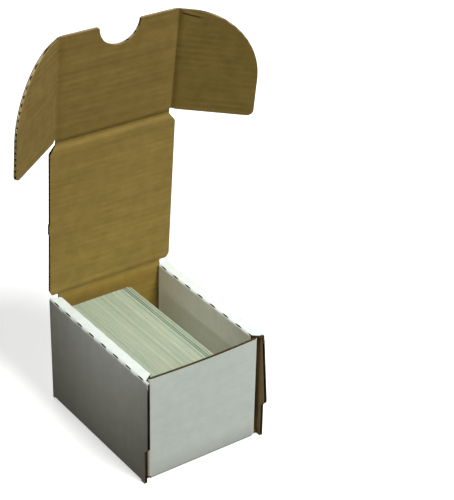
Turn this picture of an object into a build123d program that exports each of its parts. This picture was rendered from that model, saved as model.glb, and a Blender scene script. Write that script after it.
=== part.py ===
from math import cos, radians, sin
import os

from build123d import *

# A small storage box for trading cards, folded from one die-cut blank of fluted board.
# X is to the right when facing the front panel, the front panel faces -Y, and Z is up.
# The origin is under the middle of the floor, halfway between the front and back panels.
# All sizes are in millimetres. The lid, its front flap and the two ears stand open.

# The board: two flat papers glued to a fluted one
board_t = 1.7
liner_t = 0.3
flute_pitch = 3.2
flute_rise = 0.2

# The cards that the box holds, standing on their long edges
card_l = 88.9
card_h = 63.5
card_t = 0.32
cards_per_step = 3
steps_per_pack = 11
pack_count = 4
card_side_gap = 0.3
card_stagger = 0.15

# The folded box: its width, and the room that it leaves before and above the cards
box_w = 81.4
card_play = 6.3
head_room = 4.4
ear_slot_w = 2.3
fit_gap = 0.3
strip_rest_gap = 0.1

# Outer side panels: how far their front edges stand before the front panel
side_reach = 5.0
side_foot_reach = 2.0
side_step_z = 22.0
side_step_h = 3.3

# Roll-over top strips, with their slit creases and slanted ends
strip_inner_setback = 2.9
strip_outer_reach = 1.5
slit_len = 6.35
slit_period = 12.7
slit_w = 0.7

# Corner flaps and the tabs that lock the inner side panels into the floor
corner_flap_len = 42.0
corner_flap_bevel = 4.0
tab_len = 18.0
tab_spacing = 48.0
tab_gap = 0.2

# Lid, front flap, thumb notch and ears
lid_gap = 0.2
lid_w = 82.0
lid_front_bevel_x = 3.4
lid_front_bevel_y = 4.6
lid_back_bevel_x = 1.6
lid_back_bevel_y = 3.3
flap_gap = 2.0
flap_foot_gap = 3.0
notch_r = 13.0
notch_lip_r = 1.2
ear_len = 47.0
ear_arc_r = 39.0
ear_corner_r = 4.0
ear_end_drop = 0.4

# Moving creases: the bead that is left of the crushed board, and the gap round it
bead_root = 0.7
crease_gap = 0.3

# How far each fold stands open, in degrees from its closed or flat place
lid_open = 86.15
flap_fold = 3.5
ear_fold = {"left": 33.8, "right": 36.2}

# Places worked out from the sizes above
core_t = board_t - 2 * liner_t
box_d = card_l + card_play + 2 * board_t
box_h = board_t + card_h + head_room
half_d = box_d / 2
front_back_kraft_y = half_d - board_t
side_kraft_x = box_w / 2 - board_t
corner_white_x = side_kraft_x - ear_slot_w
corner_kraft_x = corner_white_x - board_t
inner_white_x = corner_kraft_x - board_t
strip_kraft_z = box_h - board_t
crease_len = box_d + side_reach
slit_count = int(crease_len / slit_period)
half_t = board_t / 2
hinge_y = half_d - half_t
hinge_z = box_h + lid_gap + half_t
flap_y = -(half_d + flap_gap + half_t)
lid_len = hinge_y - flap_y
hinge_w = 2 * corner_kraft_x
flap_len = box_h - flap_foot_gap
ear_x = (side_kraft_x + corner_white_x) / 2
ear_start = hinge_z - strip_kraft_z + fit_gap
child_start = half_t + crease_gap

os.makedirs("parts", exist_ok=True)


def save(builder, name):
    """Label a finished piece and write it to its own file."""
    builder.part.label = name
    export_step(builder.part, f"parts/{name}.step")


def wave(low, high):
    """Points of the fluted paper's edge, seen along the flutes, from low to high."""
    count = int((high - low) / flute_pitch) + 2
    start = (low + high - count * flute_pitch) / 2
    upper = []
    lower = []
    for i in range(count):
        crest = start + i * flute_pitch
        trough = crest + flute_pitch / 2
        upper += [(crest, core_t), (trough, flute_rise)]
        lower += [(crest, core_t - flute_rise), (trough, 0)]
    return upper + lower[::-1]


def bend(fold, r_in, r_out):
    """Quarter of a ring about a fold line, in the three flats that folded board breaks into.

    The fold is given as the line's cross plane and its length.
    """
    plane, length = fold
    with BuildSketch(plane) as quarter:
        RegularPolygon(r_out, 12)
        if r_in:
            RegularPolygon(r_in, 12, mode=Mode.SUBTRACT)
        Rectangle(r_out, r_out, align=(Align.MIN, Align.MIN), mode=Mode.INTERSECT)
    extrude(quarter.sketch, amount=length / 2, both=True)


def board(name, face, outline, folds=(), cuts=None):
    """One panel of board as its three papers: kraft liner, flutes and white liner.

    The face lies in the kraft surface, with X along the flutes and Z towards the white side.
    Each fold adds the corner that joins the panel to its neighbour.
    """
    box = outline.bounding_box()
    reach = box.size.X + abs(box.center().X)

    with BuildPart() as kraft:
        with BuildSketch(face):
            add(outline)
        extrude(amount=liner_t)
        if cuts:
            add(cuts, mode=Mode.SUBTRACT)
    save(kraft, f"{name}_kraft_liner")

    core = face.offset(liner_t)
    with BuildPart() as flutes:
        with BuildSketch(Plane(core.origin, x_dir=face.y_dir, z_dir=face.x_dir)):
            with BuildLine():
                Polyline(*wave(box.min.Y, box.max.Y), close=True)
            make_face()
        extrude(amount=reach, both=True)
        with BuildSketch(core):
            add(outline)
        extrude(amount=core_t, mode=Mode.INTERSECT)
        for fold in folds:
            bend(fold, 0, board_t - liner_t)
        if cuts:
            add(cuts, mode=Mode.SUBTRACT)
    save(flutes, f"{name}_flutes")

    with BuildPart() as white:
        with BuildSketch(face.offset(board_t - liner_t)):
            add(outline)
        extrude(amount=liner_t)
        for fold in folds:
            bend(fold, board_t - liner_t, board_t)
        if cuts:
            add(cuts, mode=Mode.SUBTRACT)
    save(white, f"{name}_white_liner")


# Floor: kraft side up, with two slots on each side for the inner panels' tabs
slot_x = (inner_white_x + corner_kraft_x) / 2
slot_w = board_t + 2 * tab_gap
with BuildSketch() as floor_outline:
    Rectangle(2 * side_kraft_x, 2 * front_back_kraft_y)
    with GridLocations(2 * slot_x, tab_spacing, 2, 2):
        Rectangle(slot_w, tab_len + 2 * tab_gap, mode=Mode.SUBTRACT)
floor_face = Plane((0, 0, board_t), x_dir=(1, 0, 0), z_dir=(0, 0, -1))
board("floor", floor_face, floor_outline.sketch)

# Front panel: stands between the corner folds, up to just under the strips
wall_fit_z = board_t + fit_gap
front_h = strip_kraft_z - strip_rest_gap - board_t
with BuildSketch() as front_outline:
    Rectangle(2 * corner_kraft_x, front_h, align=(Align.CENTER, Align.MIN))
front_face = Plane((0, -front_back_kraft_y, board_t), x_dir=(1, 0, 0), z_dir=(0, -1, 0))
front_foot = Plane((0, -front_back_kraft_y, board_t), x_dir=(0, -1, 0), z_dir=(1, 0, 0))
board("front_panel", front_face, front_outline.sketch, [(front_foot, 2 * corner_kraft_x)])

# Back panel: rises past the strips to the lid's crease
back_h = hinge_z - bead_root - board_t
with BuildSketch() as back_outline:
    Rectangle(hinge_w, back_h, align=(Align.CENTER, Align.MIN))
back_face = Plane((0, front_back_kraft_y, board_t), x_dir=(-1, 0, 0), z_dir=(0, 1, 0))
back_foot = Plane((0, front_back_kraft_y, board_t), x_dir=(0, 1, 0), z_dir=(-1, 0, 0))
board("back_panel", back_face, back_outline.sketch, [(back_foot, hinge_w)])

# Corner flaps: folded back from the front panel and forward from the back panel, inside
# the ear slots' inner walls
flap_h = strip_kraft_z - fit_gap - wall_fit_z
for end_name, end in (("front", -1), ("back", 1)):
    for side_name, side in (("left", -1), ("right", 1)):
        with BuildSketch() as corner_outline:
            with BuildLine():
                Polyline(
                    (0, 0),
                    (corner_flap_len, corner_flap_bevel),
                    (corner_flap_len, flap_h - corner_flap_bevel),
                    (0, flap_h),
                    close=True,
                )
            make_face()
            if side == end:
                mirror(about=Plane.YZ, mode=Mode.REPLACE)
        fold_mid = (side * corner_kraft_x, end * front_back_kraft_y, wall_fit_z + flap_h / 2)
        fold_plane = Plane(fold_mid, x_dir=(side, 0, 0), z_dir=(0, 0, side * end))
        corner_face = Plane(
            (side * corner_kraft_x, end * front_back_kraft_y, wall_fit_z),
            x_dir=(0, side, 0),
            z_dir=(side, 0, 0),
        )
        board(
            f"{end_name}_{side_name}_corner_flap",
            corner_face,
            corner_outline.sketch,
            [(fold_plane, flap_h)],
        )

# Walls that roll over: outer side panel, top strip and inner side panel on each side
for side_name, side in (("left", -1), ("right", 1)):
    # Outer side panel: flutes upright, front edge before the front panel, stepped at its foot
    with BuildSketch() as side_outline:
        with BuildLine():
            Polyline(
                (board_t, side * -front_back_kraft_y),
                (board_t, side * front_back_kraft_y),
                (fit_gap, side * front_back_kraft_y),
                (fit_gap, side * (half_d + side_foot_reach)),
                (side_step_z, side * (half_d + side_foot_reach)),
                (side_step_z + side_step_h, side * (half_d + side_reach)),
                (strip_kraft_z, side * (half_d + side_reach)),
                (strip_kraft_z, side * -half_d),
                (fit_gap, side * -half_d),
                (fit_gap, side * -front_back_kraft_y),
                close=True,
            )
        make_face()
    side_face = Plane((side * side_kraft_x, 0, 0), x_dir=(0, 0, 1), z_dir=(side, 0, 0))
    side_foot = Plane((side * side_kraft_x, 0, board_t), x_dir=(side, 0, 0), z_dir=(0, side, 0))
    board(
        f"{side_name}_outer_side",
        side_face,
        side_outline.sketch,
        [(side_foot, 2 * front_back_kraft_y)],
    )

    # Slits along both creases of the strip, and the corners cut off its two ends
    with BuildPart() as strip_cuts:
        for crease_x, lean in ((side_kraft_x, side), (corner_kraft_x, -side)):
            crease = Plane(
                (side * crease_x, 0, strip_kraft_z),
                x_dir=(0, 1, 0),
                z_dir=(lean, 0, 1),
            )
            with BuildSketch(crease.offset(slit_w)):
                with GridLocations(slit_period, 0, slit_count, 1):
                    Rectangle(slit_len, slit_w)
            extrude(amount=2 * board_t)
        with BuildSketch(Plane.XY.offset(strip_kraft_z - board_t)):
            with BuildLine():
                Polyline(
                    (side * inner_white_x, strip_inner_setback - half_d),
                    (side * side_kraft_x, -half_d - strip_outer_reach),
                    (side * side_kraft_x, -half_d - side_reach - board_t),
                    (side * inner_white_x, -half_d - side_reach - board_t),
                    close=True,
                )
            make_face()
            with BuildLine():
                Polyline(
                    (side * inner_white_x, half_d - strip_inner_setback),
                    (side * side_kraft_x, half_d - fit_gap),
                    (side * side_kraft_x, half_d + board_t),
                    (side * inner_white_x, half_d + board_t),
                    close=True,
                )
            make_face()
        extrude(amount=3 * board_t)

    # Top strip: white side up, with a fold along each side
    strip_mid_x = side * (side_kraft_x + corner_kraft_x) / 2
    crease_mid_y = -side_reach / 2
    with BuildSketch() as strip_outline:
        with Locations((strip_mid_x, crease_mid_y)):
            Rectangle(side_kraft_x - corner_kraft_x, crease_len)
    strip_face = Plane((0, 0, strip_kraft_z), x_dir=(1, 0, 0), z_dir=(0, 0, 1))
    outer_crease = Plane(
        (side * side_kraft_x, crease_mid_y, strip_kraft_z),
        x_dir=(side, 0, 0),
        z_dir=(0, -side, 0),
    )
    inner_crease = Plane(
        (side * corner_kraft_x, crease_mid_y, strip_kraft_z),
        x_dir=(-side, 0, 0),
        z_dir=(0, side, 0),
    )
    board(
        f"{side_name}_top_strip",
        strip_face,
        strip_outline.sketch,
        [(outer_crease, crease_len), (inner_crease, crease_len)],
        strip_cuts.part,
    )

    # Inner side panel: white side to the cards, two tabs down through the floor
    inner_h = strip_kraft_z - board_t
    inner_d = 2 * (front_back_kraft_y - fit_gap)
    with BuildSketch() as inner_outline:
        with Locations((board_t + inner_h / 2, 0)):
            Rectangle(inner_h, inner_d)
        with GridLocations(0, tab_spacing, 1, 2):
            Rectangle(board_t, tab_len, align=(Align.MIN, Align.CENTER))
    inner_face = Plane((side * corner_kraft_x, 0, 0), x_dir=(0, 0, 1), z_dir=(-side, 0, 0))
    board(f"{side_name}_inner_side", inner_face, inner_outline.sketch)


def crease_bead(name, plane, length):
    """Crushed board along a moving crease: plane's X runs on into the moving panel."""
    with BuildPart() as bead:
        with BuildSketch(plane):
            Circle(half_t)
            Rectangle(half_t, board_t, align=(Align.MAX, Align.CENTER))
            with Locations((-bead_root, 0)):
                Rectangle(half_t, 2 * board_t, align=(Align.MAX, Align.CENTER), mode=Mode.SUBTRACT)
        extrude(amount=length / 2, both=True)
    save(bead, name)


def open_plane(origin, angle):
    """Plane of a lid panel through its crease: Y runs away from the crease, Z to the white."""
    turn = radians(angle)
    return Plane(origin, x_dir=(-1, 0, 0), z_dir=(0, sin(turn), cos(turn)))


# Lid: hinged on the back panel, narrower at both creases than over the side walls
lid_mid = open_plane((0, hinge_y, hinge_z), lid_open)
flap_w = 2 * ear_x
lid_end = lid_len - bead_root
with BuildSketch() as lid_outline:
    with BuildLine():
        Polyline(
            (lid_w / 2 - lid_back_bevel_x, child_start),
            (lid_w / 2, child_start + lid_back_bevel_y),
            (lid_w / 2, lid_end - lid_front_bevel_y),
            (lid_w / 2 - lid_front_bevel_x, lid_end),
            (lid_front_bevel_x - lid_w / 2, lid_end),
            (-lid_w / 2, lid_end - lid_front_bevel_y),
            (-lid_w / 2, child_start + lid_back_bevel_y),
            (lid_back_bevel_x - lid_w / 2, child_start),
            close=True,
        )
    make_face()
board("lid", lid_mid.offset(-half_t), lid_outline.sketch)
back_top = Plane((0, hinge_y, hinge_z), x_dir=(0, 0, 1), z_dir=(1, 0, 0))
crease_bead("lid_crease", back_top, hinge_w)

# Front flap: hinged on the lid's far end, with a round thumb notch in its free edge
flap_origin = lid_mid.from_local_coords(Vector(0, lid_len, 0))
flap_mid = open_plane(flap_origin, lid_open - flap_fold)
flap_half_w = ear_x - bead_root
with BuildSketch() as flap_outline:
    with Locations((0, child_start)):
        Rectangle(2 * flap_half_w, flap_len - child_start, align=(Align.CENTER, Align.MIN))
    with Locations((0, flap_len)):
        Circle(notch_r, mode=Mode.SUBTRACT)
    lip_x = notch_r + notch_lip_r
    lips = flap_outline.vertices().filter_by_position(Axis.X, -lip_x, lip_x)
    fillet(lips, notch_lip_r)
board("front_flap", flap_mid.offset(-half_t), flap_outline.sketch)
flap_root = Plane(flap_origin, x_dir=lid_mid.y_dir, z_dir=lid_mid.x_dir)
crease_bead("flap_crease", flap_root, 2 * flap_half_w)

# Ears: a wing on each end of the flap, rounded so that it swings down into its slot
ear_top = flap_len - ear_end_drop
for side_name, side in (("left", -1), ("right", 1)):
    turn = radians(ear_fold[side_name])
    ear_origin = flap_mid.from_local_coords(Vector(-side * ear_x, 0, 0))
    ear_normal = flap_mid.z_dir * cos(turn) + Vector(side, 0, 0) * sin(turn)
    outward = Vector(side, 0, 0) * cos(turn) - flap_mid.z_dir * sin(turn)
    ear_mid = Plane(ear_origin, x_dir=outward * -side, z_dir=ear_normal)
    with BuildSketch() as ear_outline:
        with Locations((-side * child_start, ear_start)):
            Rectangle(
                ear_len - child_start,
                ear_top - ear_start,
                align=(Align.MAX if side > 0 else Align.MIN, Align.MIN),
            )
        outer = 0 if side > 0 else -1
        fillet(ear_outline.vertices().group_by(Axis.X)[outer].sort_by(Axis.Y)[-1], ear_arc_r)
        fillet(ear_outline.vertices().group_by(Axis.X)[outer].sort_by(Axis.Y)[0], ear_corner_r)
    board(f"{side_name}_ear", ear_mid.offset(-half_t), ear_outline.sketch)
    crease_mid = flap_mid.from_local_coords(Vector(-side * ear_x, (ear_start + ear_top) / 2, 0))
    ear_root = Plane(crease_mid, x_dir=(side, 0, 0), z_dir=flap_mid.y_dir)
    crease_bead(f"{side_name}_ear_crease", ear_root, ear_top - ear_start)

# Cards: packs of standing cards against the left wall, their top edges slightly uneven
step_t = cards_per_step * card_t
pack_t = steps_per_pack * step_t
card_back_y = card_l + card_side_gap - front_back_kraft_y
card_face = Plane((0, card_back_y, board_t), x_dir=(1, 0, 0), z_dir=(0, -1, 0))
for pack in range(pack_count):
    pack_x = -inner_white_x + card_side_gap + pack * pack_t
    pack_profile = [(pack_x + pack_t, 0), (pack_x, 0)]
    for step in range(steps_per_pack):
        drop = card_stagger * ((3 * step + 2 * pack) % 4)
        pack_profile.append((pack_x + step * step_t, card_h - drop))
        pack_profile.append((pack_x + (step + 1) * step_t, card_h - drop))
    with BuildPart() as cards:
        with BuildSketch(card_face):
            with BuildLine():
                Polyline(*pack_profile, close=True)
            make_face()
        extrude(amount=card_l)
    save(cards, f"card_pack_{pack + 1}")
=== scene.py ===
import random
from math import cos, exp, pi, radians, sin

import bpy
from mathutils import Matrix, Vector


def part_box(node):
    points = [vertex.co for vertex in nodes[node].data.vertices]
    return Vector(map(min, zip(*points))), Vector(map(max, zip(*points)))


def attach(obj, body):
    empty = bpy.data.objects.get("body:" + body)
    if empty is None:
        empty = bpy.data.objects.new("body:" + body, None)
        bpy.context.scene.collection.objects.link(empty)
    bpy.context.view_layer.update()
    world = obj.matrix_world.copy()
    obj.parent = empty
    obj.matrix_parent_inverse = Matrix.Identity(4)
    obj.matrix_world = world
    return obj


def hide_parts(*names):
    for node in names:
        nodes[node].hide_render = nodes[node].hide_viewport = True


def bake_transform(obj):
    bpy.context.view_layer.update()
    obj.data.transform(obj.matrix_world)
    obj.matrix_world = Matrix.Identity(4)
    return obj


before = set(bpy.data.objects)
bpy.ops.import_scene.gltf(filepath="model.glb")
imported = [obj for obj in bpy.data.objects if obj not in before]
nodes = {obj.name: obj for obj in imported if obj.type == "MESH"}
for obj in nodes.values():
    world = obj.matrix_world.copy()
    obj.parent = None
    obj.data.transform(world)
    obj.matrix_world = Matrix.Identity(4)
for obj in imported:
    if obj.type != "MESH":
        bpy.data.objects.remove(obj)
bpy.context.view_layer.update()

# The view: a camera above the box's left front corner, the height and lens of a
# product photograph taken from about a metre away.
view_azimuth = radians(-36.22)
view_height = radians(30.28)
view_roll = radians(1.35)
view_distance = 0.92907
view_target = Vector((0.04975, 0, 0.09688))
view_flat = cos(view_height)
back = Vector((sin(view_azimuth) * view_flat, -cos(view_azimuth) * view_flat, sin(view_height)))
level = Vector((cos(view_azimuth), sin(view_azimuth), 0))
upright = back.cross(level)
right = level * cos(view_roll) + upright * sin(view_roll)
up = upright * cos(view_roll) - level * sin(view_roll)
bpy.ops.object.camera_add(location=view_target + back * view_distance)
camera = bpy.context.object
camera.rotation_euler = Matrix((right, up, back)).transposed().to_euler()
camera.data.sensor_width = 36
camera.data.lens = 115.92
camera.data.clip_start = 0.05
camera.data.clip_end = 20
bpy.context.scene.camera = camera

# The light: one broad soft lamp above the front, a dim one behind and a dark room, so that
# the left side stays in shade. Three narrow ones fill in: from the upper left the right
# wall's inside, from far left the upper parts of the walls, from the right the lid.
bpy.context.scene.view_settings.view_transform = "Standard"


def add_lamp(kind, place, aim, energy):
    """A lamp at a place, turned to what it lights."""
    bpy.ops.object.light_add(type=kind, location=place)
    lamp = bpy.context.object
    lamp.rotation_euler = (aim - place).to_track_quat("-Z", "Y").to_euler()
    lamp.data.energy = energy
    return lamp


box_middle = Vector((0, 0, 0.08))
front_way = Vector((0.14, -0.52, 0.78)).normalized()
front_lamp = add_lamp("AREA", box_middle + front_way * 2.2, box_middle, 48)
for place, aim, degrees_wide, softness, energy in (
    ((-0.30, -0.10, 0.46), (0.029, -0.011, 0.054), 16, 0.05, 4.5),
    ((-1.2, 0, 0.7), (-0.04, 0.005, 0.135), 12, 0.06, 7.2),
    ((0.55, -1.05, 0.55), (0.034, 0.047, 0.115), 6, 0.03, 5.5),
):
    spot = add_lamp("SPOT", Vector(place), Vector(aim), energy)
    spot.data.spot_size = radians(degrees_wide)
    spot.data.spot_blend = 1
    spot.data.shadow_soft_size = softness
back_lamp = add_lamp("AREA", Vector((0.35, 1.3, 0.3)), box_middle, 7.5)
for broad_lamp in (front_lamp, back_lamp):
    broad_lamp.data.shape = "DISK"
    broad_lamp.data.size = 0.8


def sees_backdrop(tree):
    """1 for the rays that show the pale backdrop: the camera's, and those of gloss and glass."""
    path = tree.nodes.new("ShaderNodeLightPath")
    either = path.outputs["Is Camera Ray"]
    for label in ("Is Glossy Ray", "Is Transmission Ray"):
        larger = tree.nodes.new("ShaderNodeMath")
        larger.operation = "MAXIMUM"
        tree.links.new(either, larger.inputs[0])
        tree.links.new(path.outputs[label], larger.inputs[1])
        either = larger.outputs[0]
    return either


room = bpy.data.worlds.new("pale_room")
bpy.context.scene.world = room
room.use_nodes = True
room_nodes = room.node_tree.nodes
room_links = room.node_tree.links
room_nodes.clear()
room_out = room_nodes.new("ShaderNodeOutputWorld")
room_mix = room_nodes.new("ShaderNodeMixShader")
room_dim = room_nodes.new("ShaderNodeBackground")
room_dim.inputs["Color"].default_value = (1.0, 0.94, 0.8, 1)
room_dim.inputs["Strength"].default_value = 0.07
room_seen = room_nodes.new("ShaderNodeBackground")
room_seen.inputs["Color"].default_value = (1, 1, 1, 1)
room_seen.inputs["Strength"].default_value = 1
room_links.new(sees_backdrop(room.node_tree), room_mix.inputs[0])
room_links.new(room_dim.outputs[0], room_mix.inputs[1])
room_links.new(room_seen.outputs[0], room_mix.inputs[2])
room_links.new(room_mix.outputs[0], room_out.inputs["Surface"])

# The floor: a plain pale sweep that the box stands on. The camera sees it near white,
# and it throws little light back on the walls.
bpy.ops.mesh.primitive_plane_add(size=12, location=(0, 0, 0))
floor = bpy.context.object
floor.name = "pale_floor"
paint = bpy.data.materials.new("pale_floor")
paint.use_nodes = True
paint_nodes = paint.node_tree.nodes
paint_links = paint.node_tree.links
paint_nodes.clear()
paint_out = paint_nodes.new("ShaderNodeOutputMaterial")
paint_mix = paint_nodes.new("ShaderNodeMixShader")
paint_dull = paint_nodes.new("ShaderNodeBsdfDiffuse")
paint_dull.inputs["Color"].default_value = (0.045, 0.03, 0.015, 1)
paint_add = paint_nodes.new("ShaderNodeAddShader")
paint_white = paint_nodes.new("ShaderNodeBsdfDiffuse")
paint_white.inputs["Color"].default_value = (0.9, 0.9, 0.9, 1)
paint_lift = paint_nodes.new("ShaderNodeEmission")
paint_lift.inputs["Color"].default_value = (1, 1, 1, 1)
paint_lift.inputs["Strength"].default_value = 0.6
paint_links.new(sees_backdrop(paint.node_tree), paint_mix.inputs[0])
paint_links.new(paint_white.outputs[0], paint_add.inputs[0])
paint_links.new(paint_lift.outputs[0], paint_add.inputs[1])
paint_links.new(paint_dull.outputs[0], paint_mix.inputs[1])
paint_links.new(paint_add.outputs[0], paint_mix.inputs[2])
paint_links.new(paint_mix.outputs[0], paint_out.inputs["Surface"])
floor.data.materials.append(paint)

# The white outer paper: bleached liner with a dull clay finish, glued over the flutes
# so that they print through it as faint ribs. It wraps every panel of the blank.
flute_pitch = 0.0037


def node_group(name, inputs, outputs):
    """A shader node group with named number, colour or vector sockets."""
    group = bpy.data.node_groups.new(name, "ShaderNodeTree")
    for label, kind, value in inputs:
        socket = group.interface.new_socket(label, in_out="INPUT", socket_type=kind)
        if value is not None:
            socket.default_value = value
    for label, kind in outputs:
        group.interface.new_socket(label, in_out="OUTPUT", socket_type=kind)
    group.nodes.new("NodeGroupInput")
    group.nodes.new("NodeGroupOutput")
    return group


def join(tree, source, target):
    tree.links.new(source, target)


# Flute print: ribs one flute apart, stronger in some places than in others
flute_print = node_group(
    "flute_print",
    [("Vector", "NodeSocketVector", None), ("Patchiness", "NodeSocketFloat", 0.6)],
    [("Ribs", "NodeSocketFloat"), ("Streaks", "NodeSocketFloat")],
)
gi, go = flute_print.nodes["Group Input"], flute_print.nodes["Group Output"]
ribs = flute_print.nodes.new("ShaderNodeTexWave")
ribs.wave_type = "BANDS"
ribs.bands_direction = "Y"
ribs.wave_profile = "SIN"
ribs.inputs["Scale"].default_value = pi / 10 / flute_pitch
ribs.inputs["Distortion"].default_value = 0.6
ribs.inputs["Detail"].default_value = 1
ribs.inputs["Detail Scale"].default_value = 0.3
patch = flute_print.nodes.new("ShaderNodeTexNoise")
patch.inputs["Scale"].default_value = 55
patch.inputs["Detail"].default_value = 2
stretch = flute_print.nodes.new("ShaderNodeMapping")
stretch.inputs["Scale"].default_value = (0.06, 1, 1)
streak = flute_print.nodes.new("ShaderNodeTexNoise")
streak.inputs["Scale"].default_value = 190
streak.inputs["Detail"].default_value = 3
soft = flute_print.nodes.new("ShaderNodeMapRange")
soft.inputs["From Min"].default_value = 0.35
soft.inputs["From Max"].default_value = 0.65
mixer = flute_print.nodes.new("ShaderNodeMix")
mixer.data_type = "FLOAT"
mixer.inputs[2].default_value = 0.5
weight = flute_print.nodes.new("ShaderNodeMath")
weight.operation = "MULTIPLY"
join(flute_print, gi.outputs["Vector"], ribs.inputs["Vector"])
join(flute_print, gi.outputs["Vector"], patch.inputs["Vector"])
join(flute_print, gi.outputs["Vector"], stretch.inputs["Vector"])
join(flute_print, stretch.outputs[0], streak.inputs["Vector"])
join(flute_print, patch.outputs["Fac"], soft.inputs["Value"])
join(flute_print, soft.outputs[0], weight.inputs[0])
join(flute_print, gi.outputs["Patchiness"], weight.inputs[1])
join(flute_print, weight.outputs[0], mixer.inputs[0])
join(flute_print, ribs.outputs["Fac"], mixer.inputs[3])
join(flute_print, mixer.outputs[0], go.inputs["Ribs"])
join(flute_print, streak.outputs["Fac"], go.inputs["Streaks"])

# Paper fibre: a fine mottle of the two tones that unprinted paper has, with specks
paper_fibre = node_group(
    "paper_fibre",
    [
        ("Vector", "NodeSocketVector", None),
        ("Light", "NodeSocketColor", (0.8, 0.8, 0.8, 1)),
        ("Dark", "NodeSocketColor", (0.7, 0.7, 0.7, 1)),
        ("Speck", "NodeSocketColor", (0.5, 0.5, 0.5, 1)),
        ("Specks", "NodeSocketFloat", 0.3),
    ],
    [("Color", "NodeSocketColor"), ("Height", "NodeSocketFloat")],
)
gi, go = paper_fibre.nodes["Group Input"], paper_fibre.nodes["Group Output"]
cloud = paper_fibre.nodes.new("ShaderNodeTexNoise")
cloud.inputs["Scale"].default_value = 140
cloud.inputs["Detail"].default_value = 4
cloud.inputs["Roughness"].default_value = 0.65
fibre = paper_fibre.nodes.new("ShaderNodeTexNoise")
fibre.inputs["Scale"].default_value = 1900
fibre.inputs["Detail"].default_value = 2
tone = paper_fibre.nodes.new("ShaderNodeMapRange")
tone.inputs["From Min"].default_value = 0.36
tone.inputs["From Max"].default_value = 0.64
blend_tone = paper_fibre.nodes.new("ShaderNodeMix")
blend_tone.data_type = "RGBA"
fleck = paper_fibre.nodes.new("ShaderNodeTexVoronoi")
fleck.inputs["Scale"].default_value = 420
near = paper_fibre.nodes.new("ShaderNodeMapRange")
near.inputs["From Min"].default_value = 0.12
near.inputs["From Max"].default_value = 0.04
amount = paper_fibre.nodes.new("ShaderNodeMath")
amount.operation = "MULTIPLY"
blend_speck = paper_fibre.nodes.new("ShaderNodeMix")
blend_speck.data_type = "RGBA"
for texture in (cloud, fibre, fleck):
    join(paper_fibre, gi.outputs["Vector"], texture.inputs["Vector"])
join(paper_fibre, cloud.outputs["Fac"], tone.inputs["Value"])
join(paper_fibre, tone.outputs[0], blend_tone.inputs[0])
join(paper_fibre, gi.outputs["Dark"], blend_tone.inputs[6])
join(paper_fibre, gi.outputs["Light"], blend_tone.inputs[7])
join(paper_fibre, fleck.outputs["Distance"], near.inputs["Value"])
join(paper_fibre, near.outputs[0], amount.inputs[0])
join(paper_fibre, gi.outputs["Specks"], amount.inputs[1])
join(paper_fibre, amount.outputs[0], blend_speck.inputs[0])
join(paper_fibre, blend_tone.outputs[2], blend_speck.inputs[6])
join(paper_fibre, gi.outputs["Speck"], blend_speck.inputs[7])
join(paper_fibre, blend_speck.outputs[2], go.inputs["Color"])
join(paper_fibre, fibre.outputs["Fac"], go.inputs["Height"])


def paper(name, light, dark, speck, turn, rib_height, rib_tone, rough):
    """A paper whose ribs run along the X of its own turned coordinates, one flute apart in Y."""
    material = bpy.data.materials.new(name)
    material.use_nodes = True
    tree = material.node_tree
    shader = tree.nodes["Principled BSDF"]
    place = tree.nodes.new("ShaderNodeTexCoord")
    turned = tree.nodes.new("ShaderNodeMapping")
    turned.vector_type = "TEXTURE"
    turned.inputs["Rotation"].default_value = turn
    join(tree, place.outputs["Object"], turned.inputs["Vector"])
    flutes = tree.nodes.new("ShaderNodeGroup")
    flutes.node_tree = flute_print
    join(tree, turned.outputs[0], flutes.inputs["Vector"])
    stuff = tree.nodes.new("ShaderNodeGroup")
    stuff.node_tree = paper_fibre
    stuff.inputs["Light"].default_value = (*light, 1)
    stuff.inputs["Dark"].default_value = (*dark, 1)
    stuff.inputs["Speck"].default_value = (*speck, 1)
    join(tree, turned.outputs[0], stuff.inputs["Vector"])
    shade = tree.nodes.new("ShaderNodeMapRange")
    shade.inputs["To Min"].default_value = 1 - rib_tone
    shade.inputs["To Max"].default_value = 1 + rib_tone
    join(tree, flutes.outputs["Ribs"], shade.inputs["Value"])
    streaked = tree.nodes.new("ShaderNodeMapRange")
    streak_tone = rib_tone * 3
    streaked.inputs["To Min"].default_value = 1 - streak_tone
    streaked.inputs["To Max"].default_value = 1 + streak_tone
    join(tree, flutes.outputs["Streaks"], streaked.inputs["Value"])
    both = tree.nodes.new("ShaderNodeMath")
    both.operation = "MULTIPLY"
    join(tree, shade.outputs[0], both.inputs[0])
    join(tree, streaked.outputs[0], both.inputs[1])
    colour = tree.nodes.new("ShaderNodeMix")
    colour.data_type = "RGBA"
    colour.blend_type = "MULTIPLY"
    colour.inputs[0].default_value = 1
    join(tree, stuff.outputs["Color"], colour.inputs[6])
    join(tree, both.outputs[0], colour.inputs[7])
    join(tree, colour.outputs[2], shader.inputs["Base Color"])
    rib_bump = tree.nodes.new("ShaderNodeBump")
    rib_bump.inputs["Distance"].default_value = rib_height
    rib_bump.inputs["Strength"].default_value = 1
    join(tree, flutes.outputs["Ribs"], rib_bump.inputs["Height"])
    fibre_bump = tree.nodes.new("ShaderNodeBump")
    fibre_bump.inputs["Distance"].default_value = 0.000008
    fibre_bump.inputs["Strength"].default_value = 0.7
    join(tree, stuff.outputs["Height"], fibre_bump.inputs["Height"])
    join(tree, rib_bump.outputs[0], fibre_bump.inputs["Normal"])
    join(tree, fibre_bump.outputs[0], shader.inputs["Normal"])
    shader.inputs["Roughness"].default_value = rough
    shader.inputs["Specular IOR Level"].default_value = 0.01
    return material


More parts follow.
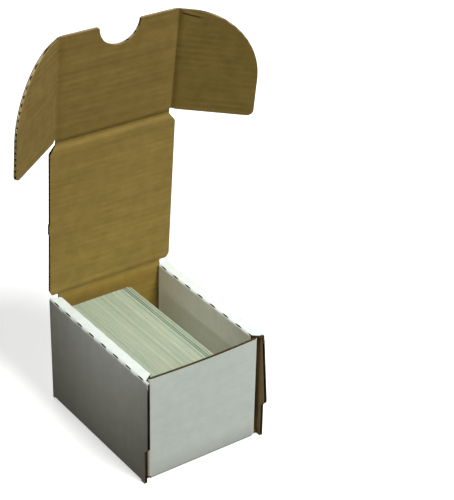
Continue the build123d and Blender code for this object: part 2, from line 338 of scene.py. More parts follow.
# The papers' tones: light, dark and specks. The kraft and the medium are unbleached. The
# medium is painted far darker than its own brown, as painted shade for the tunnels of the
# flutes. The edge tone is partly the knife's crush and partly painted shade. The pale cut tone
# is a painted highlight on the flap's and the ears' cut edges. The foot tone is a painted
# highlight for the lit feet of the outer sides.
white_light, white_dark = (0.86, 0.91, 0.84), (0.81, 0.86, 0.79)
white_speck = (0.68, 0.72, 0.67)
kraft_light, kraft_dark = (0.378, 0.265, 0.077), (0.32, 0.232, 0.066)
kraft_speck = (0.22, 0.16, 0.05)
medium_light, medium_dark = (0.085, 0.055, 0.028), (0.05, 0.032, 0.018)
medium_speck = (0.03, 0.02, 0.01)
edge_light, edge_dark = (0.022, 0.015, 0.009), (0.009, 0.006, 0.004)
cut_light, cut_dark = (0.48, 0.38, 0.19), (0.38, 0.29, 0.13)
foot_light, foot_dark = (0.23, 0.2, 0.13), (0.16, 0.13, 0.08)

# How the flutes print through: height of the ribs, their tone, and the paper's roughness
white_print = (0.00002, 0.012, 0.6)
kraft_print = (0.00008, 0.07, 0.75)
bare_print = (0.00001, 0.05, 0.8)

# Which way the flutes run on each group of panels, as the turn of the pattern. The lid and
# the flap lean back by a few degrees.
lid_lean, flap_lean = 3.85, 7.35
lying = (0, 0, 0)
facing = (radians(90), 0, 0)
sideways = (0, radians(90), 0)
turns = {
    "floor": lying,
    "front_panel": facing,
    "back_panel": facing,
    "outer_side": sideways,
    "inner_side": sideways,
    "top_strip": lying,
    "corner_flap": (radians(90), 0, radians(90)),
    "lid": (radians(90 + lid_lean), 0, 0),
    "front_flap": (radians(90 + flap_lean), 0, 0),
    "left_ear": (radians(90 + flap_lean), 0, 0),
    "right_ear": (radians(90 + flap_lean), 0, 0),
}

# How the tone of each group of panels differs from that of the plain paper. These tones are
# painted light and shade: lighter, darker or warmer copies of one paper for how the light falls
# on each panel, with the brown paper inside the double walls and the roll painted dark as shade.
painted_white_shade = {
    "front_panel": (0.93, 0.97, 0.96),
    "inner_side": (0.87, 0.84, 0.76),
    "top_strip": (0.97, 1, 1.03),
}
painted_kraft_shade = {
    "lid": (0.955, 0.955, 0.93),
    "front_flap": (0.84, 0.825, 0.82),
    "left_ear": (0.87, 0.865, 0.95),
    "right_ear": (0.89, 0.88, 0.87),
    "back_panel": (0.87, 0.83, 0.68),
    "outer_side": (0.85, 0.85, 1.4),
    "inner_side": (0.5, 0.5, 0.5),
    "top_strip": (0.3, 0.3, 0.3),
}
edge_depth = {"outer_side": (1.8, 1.8, 1.8)}


def tinted(colour, depths, panel):
    return [c * d for c, d in zip(colour, depths.get(panel, (1, 1, 1)))]


finishes = {}
for panel, turn in turns.items():
    pale = [tinted(colour, painted_white_shade, panel) for colour in (white_light, white_dark)]
    brown = [tinted(colour, painted_kraft_shade, panel) for colour in (kraft_light, kraft_dark)]
    dark = [tinted(edge_light, edge_depth, panel), edge_dark]
    bare = (medium_speck, turn, *bare_print)
    finishes[panel] = {
        "white_liner": paper(f"white_liner_{panel}", *pale, white_speck, turn, *white_print),
        "kraft_liner": paper(f"kraft_liner_{panel}", *brown, kraft_speck, turn, *kraft_print),
        "flutes": paper(f"flutes_{panel}", medium_light, medium_dark, *bare),
        "edge": paper(f"crushed_edge_{panel}", *dark, *bare),
        "cut": paper(f"cut_flutes_{panel}", cut_light, cut_dark, *bare),
    }
# Painted highlight: the feet of the outer sides get a paler tone along their cut edge, for the
# light that falls on them there.
foot_edge = paper("painted_foot_highlight", foot_light, foot_dark, medium_speck, sideways, *bare_print)


layer_slots = {"white_liner": "white_liner", "kraft_liner": "kraft_liner", "flutes": "fluted_medium"}
for name, cad in nodes.items():
    for layer, material_slot in layer_slots.items():
        for group in turns:
            if name.endswith(f"{group}_{layer}"):
                cad.data.materials.clear()
                cad.data.materials.append(finishes[group][layer])

# The two roll-over walls. The blank's white paper comes up the outside, rolls over the
# top and goes down the inside in one sheet. Slits cut along both top creases let it roll:
# the board stays sharp at a slit and takes a wide bend on each bridge between two slits.
wall_out, wall_in = 0.0407, 0.0333
wall_middle = (wall_out + wall_in) / 2
wall_top = 0.0696
wall_front, wall_back = -0.0543, 0.0493
inner_front, inner_back = -0.0474, 0.0467
top_front_out, top_front_in = -0.0508, -0.0464
top_back_out, top_back_in = 0.0490, 0.0464
roll_foot = 0.064
fold_r = 0.0017
slit_period = 0.0127
slit_half = 0.003175
first_slit = -0.04695
slits = 8
slits_from, slits_to = -0.0515, 0.0465
sharp_r, wide_out_r, wide_in_r = 0.0012, 0.0024, 0.0017
liner_t = 0.0003
core_t = 0.0011
same_place = 0.00001


def start_editing(piece):
    """Only this piece is selected, and it is in edit mode with nothing selected."""
    bpy.ops.object.select_all(action="DESELECT")
    piece.select_set(True)
    bpy.context.view_layer.objects.active = piece
    bpy.ops.object.mode_set(mode="EDIT")
    bpy.ops.mesh.select_all(action="DESELECT")


def pick(piece, kind, test):
    """Selects the faces or edges of the piece in edit mode whose middle passes the test."""
    bpy.ops.object.mode_set(mode="OBJECT")
    mesh = piece.data
    for group in (mesh.vertices, mesh.edges, mesh.polygons):
        group.foreach_set("select", [False] * len(group))
    if kind == "FACE":
        for face in mesh.polygons:
            face.select = test(face.center)
    else:
        for edge in mesh.edges:
            ends = [mesh.vertices[i].co for i in edge.vertices]
            edge.select = test((ends[0] + ends[1]) / 2) and test(ends[0]) and test(ends[1])
    bpy.ops.object.mode_set(mode="EDIT")
    bpy.ops.mesh.select_mode(type=kind)


def cut_all(planes, clear=False):
    """Cuts all of the piece in edit mode by planes, each a point and a normal."""
    for place, normal in planes:
        bpy.ops.mesh.select_all(action="SELECT")
        bpy.ops.mesh.bisect(plane_co=place, plane_no=normal, clear_outer=clear, use_fill=clear)


def end_editing(piece, smooth=True):
    bpy.ops.mesh.select_all(action="SELECT")
    bpy.ops.mesh.remove_doubles(threshold=0.0000005)
    bpy.ops.mesh.select_all(action="SELECT")
    bpy.ops.mesh.normals_make_consistent(inside=False)
    bpy.ops.object.mode_set(mode="OBJECT")
    if smooth:
        bpy.ops.object.shade_smooth_by_angle(angle=radians(38))


def finished(piece, body, material_slot, materials, *replaced):
    """Gives a piece its papers, its body and the CAD pieces it stands for."""
    if materials:
        piece.data.materials.clear()
        for finish in materials:
            piece.data.materials.append(finish)
    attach(piece, body)
    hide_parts(*replaced)


def second_finish(piece, test):
    """Puts the piece's second finish, that of a cut edge, on the faces that pass the test."""
    for face in piece.data.polygons:
        if test(face):
            face.material_index = 1


def own_copy(cad_name, name):
    """A CAD piece's mesh as a new piece, with its loose triangles joined up."""
    piece = bpy.data.objects.new(name, nodes[cad_name].data.copy())
    bpy.context.collection.objects.link(piece)
    start_editing(piece)
    bpy.ops.mesh.select_all(action="SELECT")
    bpy.ops.mesh.remove_doubles(threshold=0.0000005)
    bpy.ops.mesh.select_all(action="SELECT")
    bpy.ops.mesh.tris_convert_to_quads(face_threshold=radians(1), shape_threshold=radians(179))
    bpy.ops.object.mode_set(mode="OBJECT")
    return piece


def solid(piece, thickness, offset=-1):
    """Gives a sheet its thickness: offset -1 is away from its outer side, 0 is to both sides."""
    shell = piece.modifiers.new("thickness", "SOLIDIFY")
    shell.thickness = thickness
    shell.offset = offset
    shell.use_even_offset = True
    bpy.ops.object.select_all(action="DESELECT")
    piece.select_set(True)
    bpy.context.view_layer.objects.active = piece
    bpy.ops.object.modifier_apply(modifier=shell.name)


def mirrored(piece, name):
    """The same piece for the other wall."""
    bpy.ops.object.select_all(action="DESELECT")
    piece.select_set(True)
    bpy.context.view_layer.objects.active = piece
    bpy.ops.object.duplicate(linked=False)
    twin = bpy.context.object
    twin.name = name
    twin.data.name = name
    start_editing(twin)
    bpy.ops.mesh.select_all(action="SELECT")
    bpy.ops.transform.mirror(constraint_axis=(True, False, False), center_override=(0, 0, 0))
    end_editing(twin)
    return twin


# The rolled sheet: a flat top, spun down over each crease and drawn on down both walls
row = slit_period / 20
rows = 166
low_row = first_slit - slit_half - 8 * row
high_row = low_row + rows * row
bpy.ops.object.select_all(action="DESELECT")
bpy.ops.mesh.primitive_grid_add(x_subdivisions=2, y_subdivisions=rows, size=1, location=(0, 0, 0))
sheet = bpy.context.object
sheet.name = "left_rolled_white"
sheet.scale = (wall_out - wall_in - 2 * fold_r, high_row - low_row, 1)
sheet.location = (-wall_middle, (high_row + low_row) / 2, wall_top)
bpy.ops.object.transform_apply(location=True, rotation=True, scale=True)
crease_z = wall_top - fold_r
for crease_x, way in ((-wall_out + fold_r, -1), (-wall_in - fold_r, 1)):
    start_editing(sheet)
    pick(sheet, "EDGE", lambda p: abs(p.x - crease_x) < same_place and p.z > crease_z)
    bpy.ops.mesh.spin(steps=8, angle=-way * radians(90), center=(crease_x, 0, crease_z), axis=(0, 1, 0))
    bpy.ops.object.mode_set(mode="OBJECT")
    edge_x = crease_x + way * fold_r
    for depth in (0.002, crease_z - roll_foot - 0.002):
        start_editing(sheet)
        foot = min(v.co.z for v in sheet.data.vertices if abs(v.co.x - edge_x) < same_place)
        pick(sheet, "EDGE", lambda p: abs(p.x - edge_x) < same_place and abs(p.z - foot) < same_place)
        bpy.ops.mesh.extrude_region_move(TRANSFORM_OT_translate={"value": (0, 0, -depth)})
        bpy.ops.object.mode_set(mode="OBJECT")
start_editing(sheet)
bpy.ops.mesh.select_all(action="SELECT")
bpy.ops.mesh.remove_doubles(threshold=0.000001)


def near_slit(y):
    """How far y lies from the middle of the nearest slit."""
    return abs((y - first_slit + slit_period / 2) % slit_period - slit_period / 2)


def from_crease(p):
    """Which crease of the wall p is near, where that crease is, and how far out and up p is."""
    side = -1 if p.x < -wall_middle else 1
    line = -wall_out + fold_r if side < 0 else -wall_in - fold_r
    return side, line, (p.x - line) * side, p.z - crease_z


# Slits: one band of faces along each crease, half of each period
def in_slit(p):
    side, line, out, rise = from_crease(p)
    if out <= 0 or rise <= 0 or near_slit(p.y) > slit_half or not slits_from < p.y < slits_to:
        return False
    return 0.62 < rise / out < 1.6


pick(sheet, "FACE", in_slit)
bpy.ops.mesh.delete(type="FACE")
bpy.ops.object.mode_set(mode="OBJECT")
for v in sheet.data.vertices:
    side, line, out, rise = from_crease(v.co)
    if out < -0.0000001 or rise < -0.0000001:
        continue
    # Each bridge bends wide in its middle, less so beyond the first and the last slit
    away = near_slit(v.co.y)
    bridge = 0.5 - 0.5 * cos(2 * pi * away / slit_period)
    if not first_slit < v.co.y < first_slit + (slits - 1) * slit_period:
        bridge *= 0.3
    bend_r = sharp_r + ((wide_out_r if side < 0 else wide_in_r) - sharp_r) * bridge
    angle = Vector((out, rise)).angle_signed(Vector((1, 0)))
    # Each slit is open like an eye: its lips meet at its ends
    if away < slit_half + 0.0001 and slits_from < v.co.y < slits_to:
        open_half = radians(4 + 24 * cos(pi * min(away, slit_half) / slit_half / 2))
        lip = (radians(45) - open_half) / radians(33.75)
        angle = angle * lip if angle < radians(45) else pi / 2 - (pi / 2 - angle) * lip
    edge = line + side * fold_r
    v.co.x = edge - side * bend_r * (1 - cos(angle))
    v.co.z = wall_top - bend_r * (1 - sin(angle))

# Its ends: slanted over the top, straight down the walls
def on_top(p):
    return p.x > -wall_out + fold_r * 0.95 and p.z > crease_z - 0.0001


def on_inner_side(p):
    return p.x > -wall_in - 0.0008 and p.z < crease_z


start_editing(sheet)
pick(sheet, "FACE", on_top)
slant = Vector((-wall_out + fold_r + wall_in, top_front_out - top_front_in, 0)).normalized()
front_cut = {"plane_co": (-wall_in, top_front_in, wall_top), "plane_no": (-slant.y, slant.x, 0)}
bpy.ops.mesh.bisect(**front_cut, clear_outer=True)
pick(sheet, "FACE", on_top)
slant = Vector((wall_out - fold_r - wall_in, top_back_in - top_back_out, 0)).normalized()
back_cut = {"plane_co": (-wall_in, top_back_in, wall_top), "plane_no": (-slant.y, slant.x, 0)}
bpy.ops.mesh.bisect(**back_cut, clear_outer=True)
for y, way in ((inner_front, -1), (inner_back, 1)):
    pick(sheet, "FACE", on_inner_side)
    bpy.ops.mesh.bisect(plane_co=(0, y, 0), plane_no=(0, way, 0), clear_outer=True)
cut_all([((0, wall_front, 0), (0, -1, 0)), ((0, wall_back, 0), (0, 1, 0))])
pick(sheet, "FACE", lambda p: p.y < wall_front or p.y > wall_back)
bpy.ops.mesh.delete(type="FACE")
bpy.ops.mesh.select_all(action="SELECT")
bpy.ops.mesh.normals_make_consistent(inside=False)
bpy.ops.object.mode_set(mode="OBJECT")
if max(sheet.data.polygons, key=lambda f: f.center.z).normal.z < 0:
    sheet.data.flip_normals()
for face in sheet.data.polygons:
    steep = abs(face.normal.x) > 0.98
    face.material_index = (1 if face.center.x < -wall_middle else 2) if steep else 0

# Its inside: the same sheet, set in under the white paper, as thick as the flutes
bpy.ops.object.select_all(action="DESELECT")
sheet.select_set(True)
bpy.context.view_layer.objects.active = sheet
bpy.ops.object.duplicate(linked=False)
core = bpy.context.object
core.name = "left_rolled_flutes"
start_editing(core)
bpy.ops.mesh.select_all(action="SELECT")
bpy.ops.transform.shrink_fatten(value=-liner_t)
bpy.ops.object.mode_set(mode="OBJECT")
solid(core, core_t)
solid(sheet, liner_t)
for piece in (sheet, core):
    start_editing(piece)
    end_editing(piece)

# The flat papers that the rolled sheet joins on to are cut off at its foot
stubs = {}
for panel in ("outer_side", "inner_side"):
    for layer in ("white_liner", "flutes"):
        stub = own_copy(f"left_{panel}_{layer}", f"left_{panel}_{layer}_below_roll")
        start_editing(stub)
        cut_all([((0, 0, roll_foot), (0, 0, 1))], clear=True)
        if panel == "inner_side":
            cut_all([((0, inner_back, 0), (0, 1, 0))], clear=True)
        end_editing(stub)
        stubs[panel, layer] = stub

for side_name in ("left", "right"):
    if side_name == "left":
        rolled, rolled_core, flats = sheet, core, stubs
    else:
        rolled = mirrored(sheet, "right_rolled_white")
        rolled_core = mirrored(core, "right_rolled_flutes")
        flats = {
            key: mirrored(stub, stub.name.replace("left", "right")) for key, stub in stubs.items()
        }
    if not rolled.data.materials:
        for panel in ("top_strip", "outer_side", "inner_side"):
            rolled.data.materials.append(finishes[panel]["white_liner"])
        rolled.data.materials.append(finishes["outer_side"]["edge"])
    strip = f"{side_name}_top_strip"
    finished(rolled, "box", "white_liner", None, f"{strip}_white_liner")
    finished(rolled_core, "box", "fluted_medium", [finishes["top_strip"]["flutes"]], f"{strip}_flutes")
    # The outer side's front rim on the rolled sheet takes the dark edge tone: crushed, and painted
    # shade
    for face in rolled.data.polygons:
        if face.normal.y < -0.7 and face.center.y < -0.0535 and face.center.z < 0.0668:
            face.material_index = 3
    for (panel, layer), stub in flats.items():
        flat_name = f"{side_name}_{panel}_{layer}"
        finished(stub, "box", layer_slots[layer], [finishes[panel][layer]], flat_name)


# The front panel and the outer side panels: their cut edges are dark where the knife has
# pressed the three papers together, and darkened further as painted shade. The right wall's
# front edge leans back towards its top.
front_edge_y = -0.0495
lean_from, lean_height = 0.027, 0.042
foot_top = 0.022
front_h, front_w = 0.0678, 0.0734


def lean_back(piece):
    """Sets the right wall's front edge further back, the higher the further."""
    for v in piece.data.vertices:
        if v.co.y < front_edge_y and v.co.z > lean_from:
            keep = 1 - 0.9 * min(1, (v.co.z - lean_from) / lean_height)
            v.co.y = front_edge_y + (v.co.y - front_edge_y) * keep


def bow_out(piece):
    """Bows the front panel's free top edge out by a millimetre, as the cards press on it."""
    for v in piece.data.vertices:
        rise = max(0, v.co.z) / front_h
        v.co.y -= 0.0011 * rise * rise * max(0, cos(pi * v.co.x / front_w))


def on_front_rim(face):
    return face.normal.z > 0.7 and face.center.z > 0.06


def on_side_edge(face):
    return face.normal.y < -0.4 and face.center.y < front_edge_y


for panel, group, rim in (
    ("front_panel", "front_panel", on_front_rim),
    ("left_outer_side", "outer_side", on_side_edge),
    ("right_outer_side", "outer_side", on_side_edge),
):
    for layer, material_slot in layer_slots.items():
        if group == "outer_side" and layer != "kraft_liner":
            piece = bpy.data.objects[f"{panel}_{layer}_below_roll"]
        else:
            piece = own_copy(f"{panel}_{layer}", f"{panel}_{layer}_folded")
        start_editing(piece)
        if group == "outer_side":
            cut_all([((0, front_edge_y, 0), (0, 1, 0))])
            cut_all([((0, 0, z), (0, 0, 1)) for z in (lean_from, 0.048)])
        else:
            cut_all([((x / 1000, 0, 0), (1, 0, 0)) for x in range(-35, 36, 5)])
            cut_all([((0, 0, z / 1000), (0, 0, 1)) for z in (12, 24, 36, 46, 54, 61)])
        end_editing(piece)
        if panel == "right_outer_side":
            lean_back(piece)
        if panel == "front_panel":
            bow_out(piece)
        stock = [finishes[group][layer], finishes[group]["edge"], foot_edge]
        finished(piece, "box", material_slot, stock, f"{panel}_{layer}")
        second_finish(piece, rim)
        # Below foot_top the outer sides' cut edges take the painted highlight of the foot
        for face in piece.data.polygons:
            if group == "outer_side" and face.material_index == 1 and face.center.z < foot_top:
                face.material_index = 2
for name in ("right_rolled_white", "right_rolled_flutes"):
    lean_back(bpy.data.objects[name])


# The lid, the flap and the ears hang on each other by creases: lines where the folding
# press has crushed the board, so both papers sink towards each other on either side and
# the brown side shows a soft valley.
lid_hinge = Vector((0, 0.04845, 0.07065))
lid_up = Vector((0, -0.067142, 0.997743))
lid_brown = Vector((0, -0.997743, -0.067142))
flap_hinge = lid_hinge + lid_up * 0.1006
flap_up = Vector((0, -0.127851, 0.991793))
flap_brown = Vector((0, -0.991793, -0.127851))
half_t = 0.00085
crease_from, crease_to = -0.0007, 0.00115
ear_hinge_x = 0.03785
press_brown, press_white = 0.74, 0.25
press_reach, press_tail = 0.0022, 0.003
press_lines = (0.0016, 0.002, 0.0024, 0.0029, 0.0035, 0.0044, 0.006)


def pressed(away, height):
    """Height over the board's middle after the press, at a distance from the crease."""
    deep = exp(-((away / press_reach) ** 2)) + 0.12 * exp(-((away / press_tail) ** 2)) - 0.0022
    return height * (1 - (press_brown if height > 0 else press_white) * min(1, max(0, deep)))


def press(piece, place, inward, brown):
    """Sinks a panel's papers beside one crease; the panel lies inward of the crease."""
    start_editing(piece)
    cut_all([(place + inward * d, inward) for d in press_lines])
    bpy.ops.object.mode_set(mode="OBJECT")
    for v in piece.data.vertices:
        away = (v.co - place).dot(inward)
        height = (v.co - place).dot(brown)
        if away < press_lines[-1] - same_place and abs(height) < half_t * 1.4:
            v.co += brown * (pressed(away, height) - height)


def crease_skin(name, place, parent_way, parent_brown, axis, turn, low, high):
    """The crushed board between two panels, along axis from low to high, bent by turn.

    Its two ends reach a little way in under both panels' papers.
    """
    reach = 0.0004
    bpy.ops.object.select_all(action="DESELECT")
    bpy.ops.mesh.primitive_cube_add(size=1, location=(0, 0, 0))
    skin = bpy.context.object
    skin.name = name
    skin.data.name = name
    skin.scale = (high - low, crease_to - crease_from + 2 * reach, 2 * half_t)
    skin.location = ((high + low) / 2, (crease_to + crease_from) / 2, 0)
    bpy.ops.object.transform_apply(location=True, rotation=True, scale=True)
    start_editing(skin)
    cut_all([((0, d / 10000, 0), (0, 1, 0)) for d in (-7, -5, -3, -1, 1, 3, 5, 7, 9, 11.5)])
    end_editing(skin)
    for face in skin.data.polygons:
        face.material_index = 1 if face.normal.z > 0.5 else 0 if face.normal.z < -0.5 else 2
    for v in skin.data.vertices:
        x, d, h = v.co
        t = min(1, max(0, (d - crease_from) / (crease_to - crease_from)))
        bent = turn * t * t * (3 - 2 * t)
        way = parent_way * cos(bent) + parent_brown * sin(bent)
        brown = parent_brown * cos(bent) - parent_way * sin(bent)
        under = 0.93 if d < crease_from - reach / 2 or d > crease_to + reach / 2 else 1
        v.co = place + axis * x + way * d + brown * pressed(d, h) * under
    start_editing(skin)
    end_editing(skin)
    return skin


across = Vector((1, 0, 0))
panel_creases = {
    "back_panel": [(lid_hinge, Vector((0, 0, -1)), Vector((0, -1, 0)))],
    "lid": [(lid_hinge, lid_up, lid_brown), (flap_hinge, -lid_up, lid_brown)],
    "front_flap": [(flap_hinge, flap_up, flap_brown)],
}
ear_turns = {"left": radians(33.8), "right": radians(36.2)}
ear_hinges = {}
for side_name, side in (("left", -1), ("right", 1)):
    turn = ear_turns[side_name]
    outward = across * side
    ear_hinge = flap_hinge + outward * ear_hinge_x
    ear_way = outward * cos(turn) + flap_brown * sin(turn)
    ear_brown = flap_brown * cos(turn) - outward * sin(turn)
    ear_hinges[side_name] = ear_hinge
    panel_creases["front_flap"].append((ear_hinge, -outward, flap_brown))
    panel_creases[f"{side_name}_ear"] = [(ear_hinge, ear_way, ear_brown)]


def dent(piece, place, way, brown):
    """A shallow fold that handling has left in the right ear's brown paper, near its top."""
    one_end = place + way * 0.0018 + flap_up * 0.0645
    other_end = place + way * 0.0125 + flap_up * 0.0627
    line = (other_end - one_end).normalized()
    beside = line.cross(brown).normalized()
    start_editing(piece)
    cut_all([(one_end + beside * d, beside) for d in (-0.0011, -0.0005, 0, 0.0005, 0.0009)])
    cut_all([(one_end + line * d, line) for d in (0, 0.003, 0.006, 0.009, 0.0109)])
    bpy.ops.object.mode_set(mode="OBJECT")
    for v in piece.data.vertices:
        along, off = (v.co - one_end).dot(line), (v.co - one_end).dot(beside)
        if abs(off) < 0.00055 and 0.0005 < along < 0.0105:
            v.co += brown * (0.00018 if off < 0.0001 else -0.00025)


def nick(piece):
    """A knocked spot on the lid's left edge, just below its middle."""
    start_editing(piece)
    cut_all([(lid_hinge + lid_up * d, lid_up) for d in (0.0425, 0.0438, 0.0492, 0.0505)])
    bpy.ops.object.mode_set(mode="OBJECT")
    for v in piece.data.vertices:
        along = (v.co - lid_hinge).dot(lid_up)
        if v.co.x < -0.0405 and 0.0433 < along < 0.0497:
            v.co.x -= 0.0005


# The flutes of the lid, the flap and the ears: paper pressed into waves between two hot
# rollers. The knife crushes them against the white liner and leaves the tunnels under the
# brown liner open, so they show as dark spots along a cut edge.
wave_height, wave_t = 0.00046, 0.0009
rows_per_flute = 12
overhang = 0.002


def waved(liner, name, place, along, upward, brown, low, high, length):
    """A waved sheet with the outline of a copy of the panel's liner, which is used up."""
    for v in liner.data.vertices:
        height = (v.co - place).dot(brown)
        v.co += brown * ((-core_t if height < 0.0007 else core_t) / 2 - height)
    wave_rows = round((length + overhang) / flute_pitch * rows_per_flute)
    bpy.ops.object.select_all(action="DESELECT")
    bpy.ops.mesh.primitive_grid_add(
        x_subdivisions=1, y_subdivisions=wave_rows, size=1, location=(0, 0, 0)
    )
    wave = bpy.context.object
    wave.name = name
    wave.data.name = name
    wave.scale = (high - low, length + overhang, 1)
    wave.location = ((high + low) / 2, length / 2, 0)
    bpy.ops.object.transform_apply(location=True, rotation=True, scale=True)
    for v in wave.data.vertices:
        x, y = v.co.x, v.co.y
        rise = min(1, 0.2 + 1.35 * sin(2 * pi * y / flute_pitch))
        height = 0.00005 + wave_height * rise - wave_t / 2
        v.co = place + along * x + upward * y + brown * height
    solid(wave, wave_t, 0)
    start_editing(wave)
    end_editing(wave, smooth=False)
    outline = wave.modifiers.new("outline", "BOOLEAN")
    outline.operation = "INTERSECT"
    outline.solver = "EXACT"
    outline.object = liner
    bpy.ops.object.modifier_apply(modifier=outline.name)
    bpy.data.objects.remove(liner)
    return wave


waves = {
    "lid": (lid_hinge, across, lid_up, lid_brown, -0.0425, 0.0425, 0.1),
    "front_flap": (flap_hinge, across, flap_up, flap_brown, -0.0385, 0.0385, 0.068),
}
for side_name in ("left", "right"):
    place, way, brown = panel_creases[f"{side_name}_ear"][0]
    waves[f"{side_name}_ear"] = (place, way, flap_up, brown, 0, 0.0485, 0.068)

panel_bodies = {"back_panel": "box", "front_flap": "flap"}
for panel, its_creases in panel_creases.items():
    for layer, material_slot in layer_slots.items():
        cad_name = f"{panel}_{layer}"
        if layer == "flutes" and panel in waves:
            outline = own_copy(f"{panel}_kraft_liner", "outline")
            piece = waved(outline, f"{cad_name}_waved", *waves[panel])
        else:
            piece = own_copy(cad_name, f"{cad_name}_pressed")
        for place, inward, brown in its_creases:
            press(piece, place, inward, brown)
        if cad_name == "right_ear_kraft_liner":
            dent(piece, *its_creases[0])
        if panel == "lid":
            nick(piece)
        start_editing(piece)
        end_editing(piece)
        flat_first = piece.modifiers.new("flat_first", "WEIGHTED_NORMAL")
        flat_first.keep_sharp = True
        flat_first.weight = 80
        bpy.ops.object.modifier_apply(modifier=flat_first.name)
        # The flap's and the ears' cut edges take the pale tone, a painted highlight; the other cut
        # edges take the dark one, crushed and painted shade
        pale = layer != "white_liner" and panel in ("front_flap", "left_ear", "right_ear")
        cut_edge = finishes[panel]["cut" if pale else "edge"]
        body = panel_bodies.get(panel, panel)
        finished(piece, body, material_slot, [finishes[panel][layer], cut_edge], cad_name)
        # The lid's side edges take the dark edge tone: crushed, and painted shade
        if layer == "kraft_liner" and panel == "lid":
            second_finish(piece, lambda face: abs(face.normal.x) > 0.6)
        elif panel != "back_panel" or layer == "white_liner":
            brown = its_creases[-1][2]
            second_finish(piece, lambda face: abs(face.normal.dot(brown)) < 0.4)

# The crushed board of the four creases. Each fold says where it lies, the parent panel's
# way and brown side, its axis, its bend at rest and its two ends along the axis.
forwards, upwards = Vector((0, -1, 0)), Vector((0, 0, 1))
lid_bend, flap_bend = radians(lid_lean), radians(flap_lean - lid_lean)
lid_fold = (lid_hinge, upwards, forwards, across, lid_bend, -0.035, 0.035)
flap_fold = (flap_hinge, lid_up, lid_brown, across, flap_bend, -0.03715, 0.03715)
skins = {
    "lid_crease": (lid_fold, "box", "lid", "lid"),
    "flap_crease": (flap_fold, "lid", "flap", "lid"),
}
for side_name, side in (("left", -1), ("right", 1)):
    ear = f"{side_name}_ear"
    ear_hinge, ear_turn = ear_hinges[side_name], ear_turns[side_name]
    ear_fold = (ear_hinge, across * side, flap_brown, flap_up, ear_turn, 0.00305, 0.0662)
    skins[f"{ear}_crease"] = (ear_fold, "flap", ear, "front_flap")
for cad_name, (fold, parent_body, child_body, panel) in skins.items():
    skin = crease_skin(f"{cad_name}_pressed", *fold)
    for layer in ("white_liner", "kraft_liner", "flutes"):
        skin.data.materials.append(finishes[panel][layer])
    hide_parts(cad_name)
    place, way, brown, _, turn, _, _ = fold
    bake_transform(skin)

# The cards: about 130 standing in the box, each a little higher or lower than the next,
# with the pale cut edges of their stock on top. Some edges are greyer, and a few stand apart.
cards_per_pack = 33
end_room, top_room = 0.0008, 0.0002
dark_cards = (117, 118, 121, 122, 125, 128)
greyer_cards = (18, 66, 88, 110)
whiter_cards = (50, 95, 124)
chance = random.Random(14)


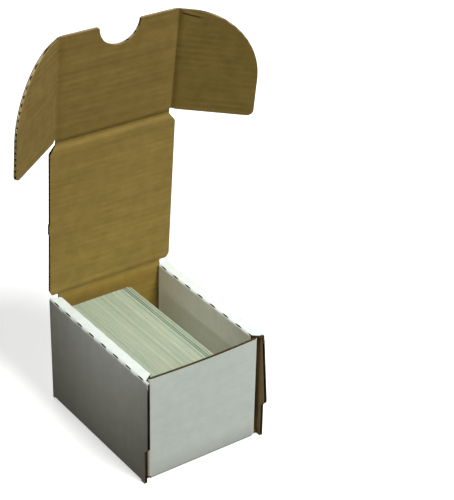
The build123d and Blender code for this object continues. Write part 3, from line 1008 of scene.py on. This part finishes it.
def card_material():
    material = bpy.data.materials.new("card_stock")
    material.use_nodes = True
    tree = material.node_tree
    shader = tree.nodes["Principled BSDF"]
    tone = tree.nodes.new("ShaderNodeAttribute")
    tone.attribute_name = "card_tone"
    place = tree.nodes.new("ShaderNodeTexCoord")
    long_way = tree.nodes.new("ShaderNodeMapping")
    long_way.inputs["Scale"].default_value = (1, 0.12, 1)
    join(tree, place.outputs["Object"], long_way.inputs["Vector"])
    streak = tree.nodes.new("ShaderNodeTexNoise")
    streak.inputs["Scale"].default_value = 900
    streak.inputs["Detail"].default_value = 3
    join(tree, long_way.outputs[0], streak.inputs["Vector"])
    spread = tree.nodes.new("ShaderNodeMapRange")
    spread.inputs["From Min"].default_value = 0.3
    spread.inputs["From Max"].default_value = 0.7
    spread.inputs["To Min"].default_value = -0.07
    spread.inputs["To Max"].default_value = 0.07
    join(tree, streak.outputs["Fac"], spread.inputs["Value"])
    total = tree.nodes.new("ShaderNodeMath")
    total.operation = "ADD"
    join(tree, tone.outputs["Fac"], total.inputs[0])
    join(tree, spread.outputs[0], total.inputs[1])
    ramp = tree.nodes.new("ShaderNodeValToRGB")
    ramp.color_ramp.elements[0].position = 0
    ramp.color_ramp.elements[0].color = (0.10, 0.19, 0.15, 1)
    ramp.color_ramp.elements[1].position = 1
    ramp.color_ramp.elements[1].color = (0.72, 0.76, 0.57, 1)
    for stop, shade in (
        (0.3, (0.27, 0.36, 0.28, 1)),
        (0.5, (0.38, 0.48, 0.36, 1)),
        (0.56, (0.46, 0.48, 0.33, 1)),
        (0.62, (0.41, 0.52, 0.40, 1)),
        (0.7, (0.52, 0.53, 0.38, 1)),
        (0.8, (0.50, 0.57, 0.43, 1)),
    ):
        ramp.color_ramp.elements.new(stop).color = shade
    join(tree, total.outputs[0], ramp.inputs["Fac"])
    join(tree, ramp.outputs["Color"], shader.inputs["Base Color"])
    grain = tree.nodes.new("ShaderNodeBump")
    grain.inputs["Distance"].default_value = 0.00001
    join(tree, streak.outputs["Fac"], grain.inputs["Height"])
    join(tree, grain.outputs[0], shader.inputs["Normal"])
    shader.inputs["Roughness"].default_value = 0.55
    shader.inputs["Specular IOR Level"].default_value = 0.06
    return material


card_stock = card_material()
for pack in range(4):
    low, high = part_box(f"card_pack_{pack + 1}")
    low, high = Vector(low), Vector(high)
    pitch = (high.x - low.x) / cards_per_pack
    bpy.ops.object.select_all(action="DESELECT")
    bpy.ops.mesh.primitive_cube_add(size=1, location=(0, 0, 0))
    cards = bpy.context.object
    cards.name = f"standing_cards_{pack + 1}"
    cards.data.name = cards.name
    cards.scale = (pitch * 0.9, high.y - low.y - end_room, high.z - low.z - top_room)
    cards.location = (low.x + pitch / 2, (low.y + high.y) / 2, (low.z + high.z - top_room) / 2)
    bpy.ops.object.transform_apply(location=True, rotation=True, scale=True)
    row_of_cards = cards.modifiers.new("row", "ARRAY")
    row_of_cards.use_relative_offset = False
    row_of_cards.use_constant_offset = True
    row_of_cards.constant_offset_displace = (pitch, 0, 0)
    row_of_cards.count = cards_per_pack
    bpy.ops.object.modifier_apply(modifier=row_of_cards.name)
    tones = cards.data.attributes.new("card_tone", "FLOAT", "POINT")
    for card in range(cards_per_pack):
        place_in_row = pack * cards_per_pack + card
        rise = chance.uniform(-0.00008, 0.00008)
        push = chance.uniform(-0.0002, 0.0002)
        lean = chance.uniform(-0.00003, 0.00003)
        shade = min(1, max(0, chance.gauss(0.6, 0.035)))
        if place_in_row in dark_cards:
            shade = 0
            rise -= 0.0005
        elif place_in_row in greyer_cards:
            shade = 0.25
        elif place_in_row in whiter_cards:
            shade = 0.95
        if place_in_row > dark_cards[-1]:
            push -= 0.0012
        for corner in range(8):
            v = cards.data.vertices[card * 8 + corner]
            v.co.y += push
            if v.co.z > high.z - 0.002:
                v.co.z += rise
                v.co.x += lean
            tones.data[card * 8 + corner].value = shade
    finished(cards, "cards", "card_stock", [card_stock], f"card_pack_{pack + 1}")
